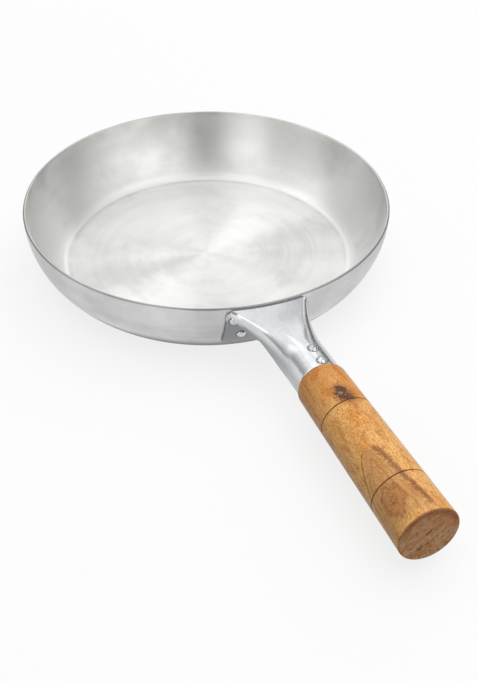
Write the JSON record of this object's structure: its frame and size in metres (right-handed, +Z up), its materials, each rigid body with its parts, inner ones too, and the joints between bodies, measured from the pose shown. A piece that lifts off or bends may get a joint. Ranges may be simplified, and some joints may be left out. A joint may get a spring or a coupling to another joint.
{
  "type": "tadka pan",
  "caption": "Shallow round aluminium tadka pan with a folded sheet-metal bracket riveted to its wall, rolled into a socket that holds a turned wooden grip.",
  "frame": {"origin": "centre of the flat underside of the dish", "axes": "+Z up out of the dish, +X along the handle, away from the dish"},
  "size_m": [0.3827, 0.22, 0.0416],
  "materials": {
    "dish": "satin, with fine turning lines",
    "bracket": "smooth zinc-coated sheet, soft sheen",
    "rivet": "bright, domed",
    "grip": "turned, lightly waxed"
  },
  "bodies": {
    "root": {"pan_body": "dish", "handle_bracket": "bracket", "wooden_handle": "grip", "pan_rivet_upper_left": "rivet", "pan_rivet_lower_left": "rivet", "pan_rivet_upper_right": "rivet", "pan_rivet_lower_right": "rivet", "socket_pin_front": "rivet", "socket_pin_rear": "rivet"}
  },
  "joints": []
}
